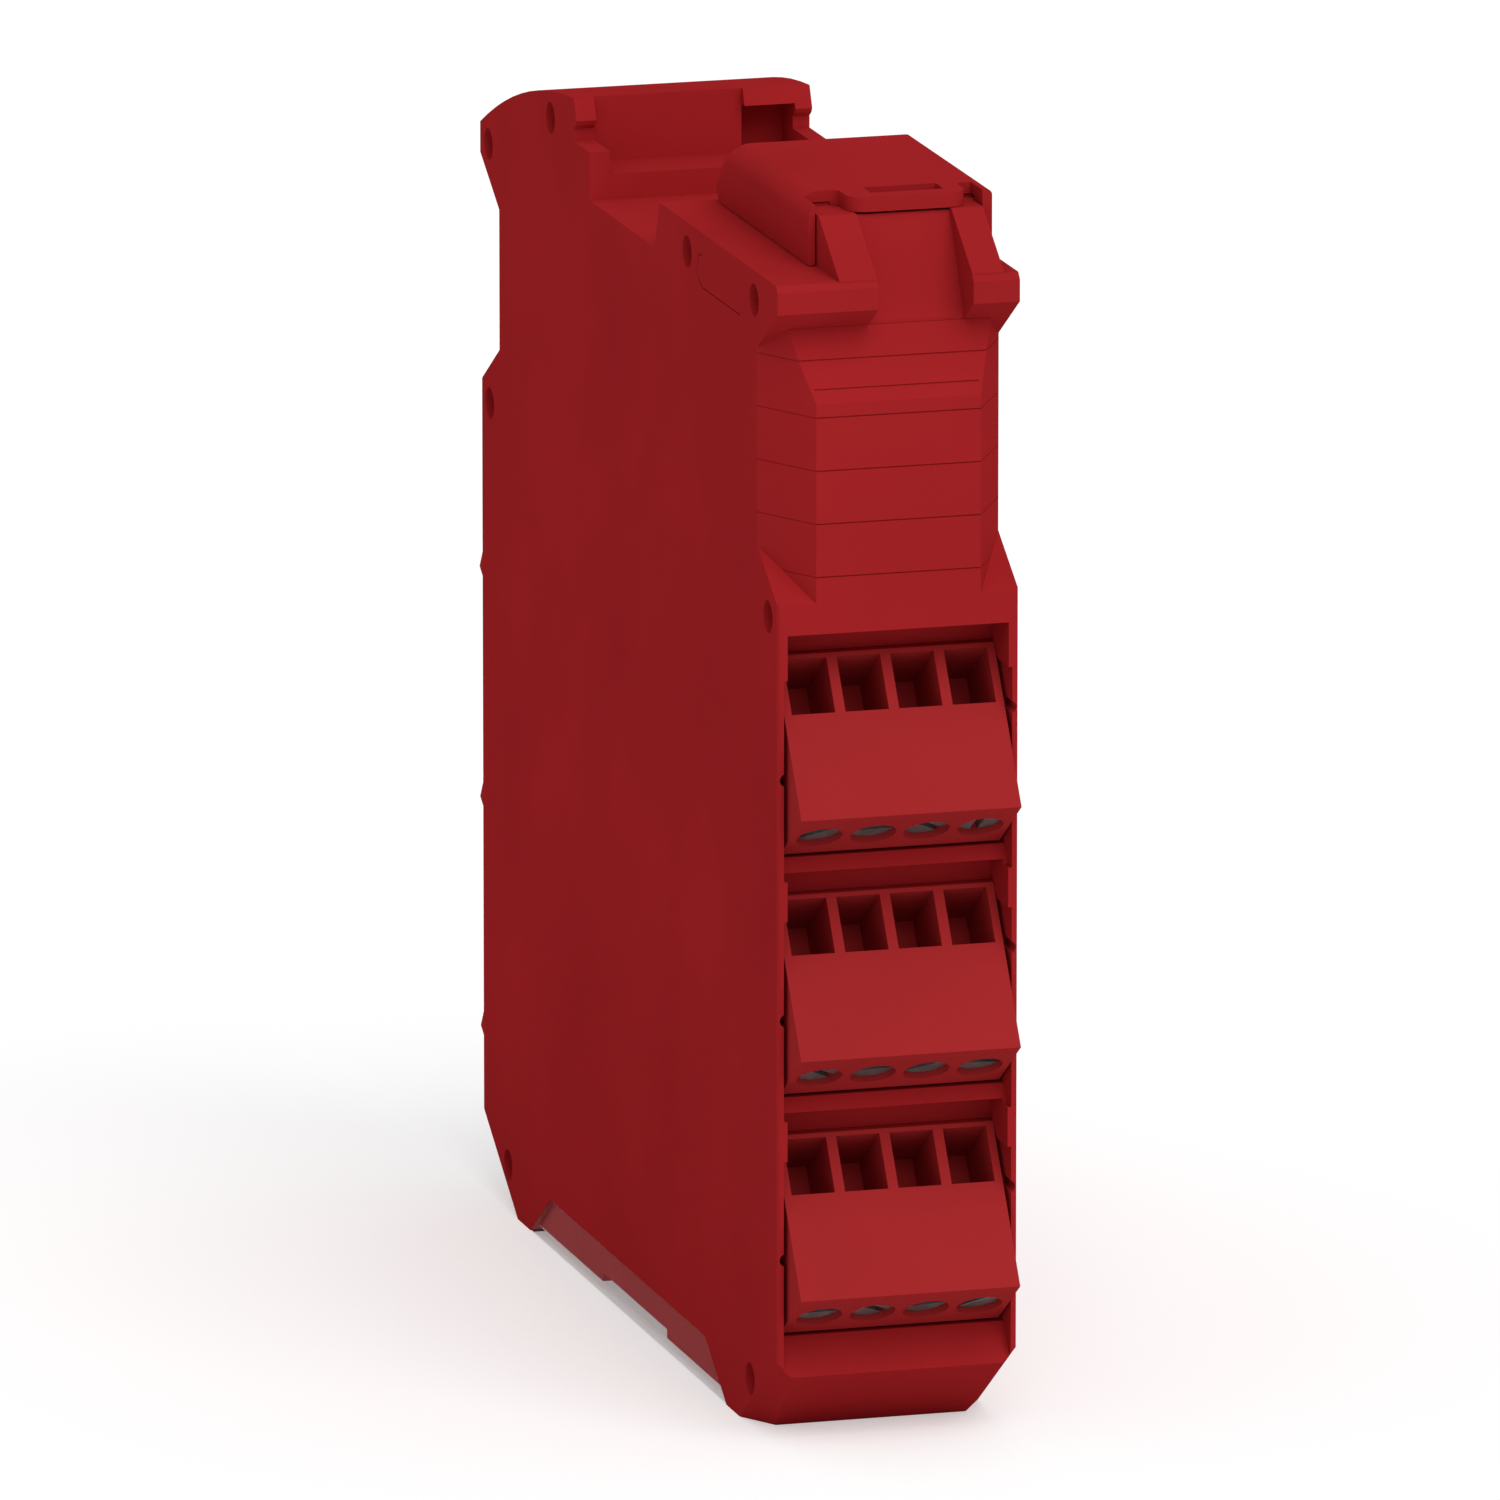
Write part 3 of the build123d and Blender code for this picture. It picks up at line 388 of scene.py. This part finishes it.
def slotted_screw(side, level, x, turn):
    """A clamp screw: chords laid across its head, those within the slot lower, then rings round the head and
    down the shank. The whole is turned about its axis and laid square to the leaning lower face of its plug."""
    head_r, shank_r, sunk, head_low, tip = 2.05, 1.25, 0.6, 2.7, 10.1
    slot_half, slot_deep = 0.37, 0.9
    outer = np.linspace(-0.985, 0, 9)[:-1] * head_r
    outer = np.append(outer[outer < -slot_half - 0.1], -slot_half)
    u = np.concatenate([outer, [-slot_half, 0, slot_half], -outer[::-1]])
    deep = np.concatenate([np.zeros(len(outer)), [slot_deep] * 3, np.zeros(len(outer))])
    v = np.linspace(-1, 1, 9)
    rows, columns = len(u), len(v)
    chord = np.sqrt(head_r ** 2 - u ** 2)
    top = np.stack([np.repeat(u, columns), np.outer(chord, v).ravel(), np.repeat(-sunk - deep, columns)], axis=1)
    row, column = np.meshgrid(np.arange(rows - 1), np.arange(columns - 1), indexing="ij")
    corner = (row * columns + column).ravel()
    faces = np.stack([corner, corner + 1, corner + columns + 1, corner + columns], axis=1).tolist()
    first, last = np.arange(columns), (rows - 1) * columns + np.arange(columns)
    rim = np.concatenate([first, np.arange(1, rows) * columns + columns - 1,
                          last[::-1][1:], np.arange(rows - 2, 0, -1) * columns])
    wide = top[rim, :2]
    narrow = wide / np.linalg.norm(wide, axis=1)[:, None] * shank_r
    rings = [np.column_stack([flat, np.full(len(rim), -low)])
             for flat, low in ((wide, head_low), (narrow, head_low), (narrow, tip))]
    chain = [rim] + [len(top) + k * len(rim) + np.arange(len(rim)) for k in range(3)]
    for upper, lower in zip(chain, chain[1:]):
        faces += np.stack([upper, np.roll(upper, -1), np.roll(lower, -1), lower], axis=1).tolist()
    faces.append(chain[-1].tolist())
    points = np.vstack([top] + rings)
    c, d = math.cos(math.radians(turn)), math.sin(math.radians(turn))
    turned = points @ np.array([[c, d, 0], [-d, c, 0], [0, 0, 1]])
    outward, inward = np.array((0, -cos_tilt, sin_tilt)), np.array((0, -sin_tilt, -cos_tilt))
    laid = np.outer(turned[:, 0] + x, np.array((1, 0, 0)))
    laid += np.outer(turned[:, 1] - screw_set_back, outward) + np.outer(turned[:, 2], inward)
    laid += np.array((0, plug_corner_y, plug_corner_z - level_pitch * (level - 1)))
    return laid * np.array([1, side, 1]), faces


# Degrees, with a row for each level of plugs.
slot_turns = ((125, 94, 50, 178), (48, 96, 120, 85), (93, 50, 98, 128))
screw_steel = metal("screw_steel", (0.225, 0.262, 0.255), 0.5, 1500, (1, 0.4, 0.4))
for end, side in (("near", 1), ("far", -1)):
    for level in (1, 2, 3):
        for pole in (1, 2, 3, 4):
            node = f"{end}_screw_{level}_{pole}"
            x = (pole - 2.5) * pole_pitch
            skin = slotted_screw(side, level, x, slot_turns[level - 1][pole - 1])
            screw_mesh = solid_mesh(node + "_turned", *skin)
            screw = put(node + "_turned", screw_mesh, screw_steel, node)
            soft = screw.modifiers.new("worn_edges", "BEVEL")
            soft.width = 0.00006
            soft.segments = 2
            soft.limit_method = "ANGLE"
            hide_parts(node)

clamp_tin = metal("clamp_tin", (0.42, 0.41, 0.38), 0.45, 1200, (1, 1, 0.3))
spring_wire = metal("spring_wire", (0.35, 0.35, 0.36), 0.35, 2500, (1, 0.2, 1))
can_aluminium = metal("can_aluminium", (0.62, 0.63, 0.65), 0.35, 900, (0.15, 1, 1))
for end in ("near", "far"):
    for level in (1, 2, 3):
        finish_node(f"{end}_clamps_{level}", clamp_tin)
    finish_node(f"{end}_header_pins", clamp_tin)
finish_node("capacitors", can_aluminium)


# The foot's compression spring lies between the guide's pocket and the foot's nose. The real one shortens as the
# foot is drawn out; this coil keeps one length.
def spring_coil():
    """A ring of the wire's section carried along a helix about Y, whose first and last turns lie close."""
    turns, steps, mean_r, wire_r, length = 7, 28, 1.65, 0.24, 17.38
    axis_x, start_y, axis_z = 2.525, -37.19, 109.45
    t = np.linspace(0, turns, turns * steps + 1)
    rise = np.interp(t, [0, 1, turns - 1, turns], [0, 2 * wire_r, length - 2 * wire_r, length])
    angle = 2 * math.pi * t
    centre = np.stack([axis_x + mean_r * np.cos(angle), start_y + rise, axis_z + mean_r * np.sin(angle)], axis=1)
    outward = np.stack([np.cos(angle), np.zeros(len(t)), np.sin(angle)], axis=1)
    wire = np.linspace(0, 2 * math.pi, 12, endpoint=False)[None, :, None]
    section = np.cos(wire) * outward[:, None] + np.sin(wire) * np.array([0, 1, 0])
    return carried(centre[:, None] + wire_r * section)


coil_mesh = solid_mesh("foot_spring_coil", *spring_coil())
coil_mesh.polygons.foreach_set("use_smooth", np.full(len(coil_mesh.polygons), True))
coil_mesh.set_sharp_from_angle(angle=math.radians(40))
coil = put("foot_spring_coil", coil_mesh, spring_wire, "housing")
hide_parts("foot_spring")
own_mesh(coil)


# Glass-fibre boards with green solder mask. Slim paler tracks run under the mask.
def board_mask(name):
    """Solder mask: the rims of a noise of square cells are paler and show as tracks."""
    material = moulded(name, (0.012, 0.09, 0.035), 0.35, grain=3000, depth=0.02, shine=0.4)
    nodes, links = material.node_tree.nodes, material.node_tree.links
    shader = nodes["Principled BSDF"]
    place = next(n for n in nodes if n.type == "TEX_COORD")
    cells = nodes.new("ShaderNodeTexVoronoi")
    cells.distance = "CHEBYCHEV"
    cells.inputs["Scale"].default_value = 260
    links.new(place.outputs["Object"], cells.inputs["Vector"])
    line = nodes.new("ShaderNodeValToRGB")
    line.color_ramp.elements[0].position = 0.46
    line.color_ramp.elements[0].color = (0.012, 0.09, 0.035, 1)
    line.color_ramp.elements[1].position = 0.5
    line.color_ramp.elements[1].color = (0.03, 0.16, 0.06, 1)
    links.new(cells.outputs["Distance"], line.inputs["Fac"])
    links.new(line.outputs["Color"], shader.inputs["Base Color"])
    return material


green_board = board_mask("green_board")
for part in ("near_terminal_board", "far_terminal_board", "main_board", "front_board"):
    finish_node(part, green_board)

# Headers, relays and the potted converter on the boards, in plain moulded plastics.
header_black = moulded("header_black", (0.012, 0.012, 0.013), 0.45, grain=5000, shine=0.35)
relay_grey = moulded("relay_grey", (0.55, 0.55, 0.52), 0.4, grain=4000, cloud=0.03, shine=0.4)
for end in ("near", "far"):
    for level in (1, 2, 3):
        finish_node(f"{end}_header_{level}", header_black)
finish_node("power_converter", header_black)
for part in ("safety_relay_1", "safety_relay_2"):
    finish_node(part, relay_grey)


# The main board carries two processors, which watch each other: flat black packages with
# legs on four sides. Block connectors join it to the terminal boards and the front board.
board_face, chip_z = 5.2, 55.9


def bevelled_block(low, high, edge):
    """A box as rings of eight points along X: each ring is a rectangle whose corners are cut off by the
    edge length, and the first and last rings are drawn in by the same length."""
    low, high = np.array(low, dtype=float), np.array(high, dtype=float)
    middle, half = (low + high)[1:] / 2, (high - low)[1:] / 2
    corner = np.array([(1, 1), (-1, 1), (-1, -1), (1, -1)], dtype=float)
    rings = []
    for x, drawn in ((low[0], edge), (low[0] + edge, 0), (high[0] - edge, 0), (high[0], edge)):
        reach = half - drawn
        ring = []
        for k, (a, b) in enumerate(corner):
            cut = [(edge, 0), (0, edge)] if k % 2 else [(0, edge), (edge, 0)]
            for dy, dz in cut:
                ring.append((x, middle[0] + a * (reach[0] - dy), middle[1] + b * (reach[1] - dz)))
        rings.append(ring)
    return carried(rings)


def gathered(skins):
    """Several closed skins as one list of points and faces."""
    points, faces, shift = [], [], 0
    for part_points, part_faces in skins:
        points.append(np.asarray(part_points))
        faces += [[corner + shift for corner in face] for face in part_faces]
        shift += len(part_points)
    return np.vstack(points), faces


def chip_leg(chip_y, step, turn):
    """A leg bent like a gull's wing: a thin oblong is carried out from the package, down to the board and out
    again, and the strip is turned round the middle of the package by quarter turns."""
    path = ((3.9, -0.75), (4.25, -0.75), (4.5, -0.1), (5.0, -0.1))
    oblong = ((-0.07, -0.13), (0.07, -0.13), (0.07, 0.13), (-0.07, 0.13))
    rings = np.array([[(out, rise + thick, wide) for thick, wide in oblong] for out, rise in path])
    angle = math.radians(turn)
    along, beside = rings[..., 0], rings[..., 2] + step
    y = chip_y + along * math.cos(angle) - beside * math.sin(angle)
    z = chip_z + along * math.sin(angle) + beside * math.cos(angle)
    return carried(np.stack([board_face + rings[..., 1], y, z], axis=-1))


chip_half = 4.0
for number, y in ((1, -12.0), (2, 12.0)):
    chip_low = (board_face - 1.4, y - chip_half, chip_z - chip_half)
    chip_high = (board_face - 0.15, y + chip_half, chip_z + chip_half)
    chip_mesh = solid_mesh(f"processor_{number}", *bevelled_block(chip_low, chip_high, 0.25))
    put(f"processor_{number}", chip_mesh, header_black, "housing")
    legs = [chip_leg(y, step, turn) for turn in (0, 90, 180, 270) for step in np.linspace(-3.25, 3.25, 14)]
    legs_mesh = solid_mesh(f"processor_legs_{number}", *gathered(legs))
    put(f"processor_legs_{number}", legs_mesh, clamp_tin, "housing")
connectors = (
    ("near_board_connector", (-0.8, -29.9, 30.0), (board_face, -25.0, 60.0)),
    ("far_board_connector", (-0.8, 25.0, 30.0), (board_face, 29.9, 60.0)),
    ("front_board_connector", (-0.8, -15.0, 13.65), (board_face, 15.0, 18.6)),
)
for name, low, high in connectors:
    connector_mesh = solid_mesh(name, *bevelled_block(low, high, 0.35))
    put(name, connector_mesh, header_black, "housing")

# Two rotary selectors of white plastic behind the front cover.
dial_white = moulded("dial_white", (0.78, 0.78, 0.75), 0.4, grain=4000, cloud=0.02, shine=0.4)
for part in ("selector_dial_1", "selector_dial_2"):
    finish_node(part, dial_white)


# The clear front cover and the light pipes: polycarbonate, with faint flow marks.
def clear_plastic(name, colour, rough, index):
    """Clear plastic: light passes, bent by the index, and a slow noise varies its colour and roughness."""
    material = bpy.data.materials.new(name)
    material.use_nodes = True
    nodes, links = material.node_tree.nodes, material.node_tree.links
    shader = nodes["Principled BSDF"]
    shader.inputs["Transmission Weight"].default_value = 0.995
    shader.inputs["IOR"].default_value = index
    shader.inputs["Specular IOR Level"].default_value = 0.2
    place = nodes.new("ShaderNodeTexCoord")
    ripple = nodes.new("ShaderNodeTexNoise")
    ripple.inputs["Scale"].default_value = 120
    links.new(place.outputs["Object"], ripple.inputs["Vector"])
    tone = nodes.new("ShaderNodeValToRGB")
    for element, share in zip(tone.color_ramp.elements, (0.97, 1.0)):
        element.color = tuple(c * share for c in colour) + (1,)
    links.new(ripple.outputs["Fac"], tone.inputs["Fac"])
    links.new(tone.outputs["Color"], shader.inputs["Base Color"])
    spread = nodes.new("ShaderNodeMapRange")
    spread.inputs["To Min"].default_value = rough
    spread.inputs["To Max"].default_value = rough + 0.05
    links.new(ripple.outputs["Fac"], spread.inputs["Value"])
    links.new(spread.outputs[0], shader.inputs["Roughness"])
    return material


cover_clear = clear_plastic("cover_clear", (0.82, 0.825, 0.825), 0.02, 1.025)
pipe_clear = clear_plastic("pipe_clear", (0.9, 0.94, 0.92), 0.1, 1.45)
finish_node("front_cover", cover_clear)
finish_node("light_pipes", pipe_clear)
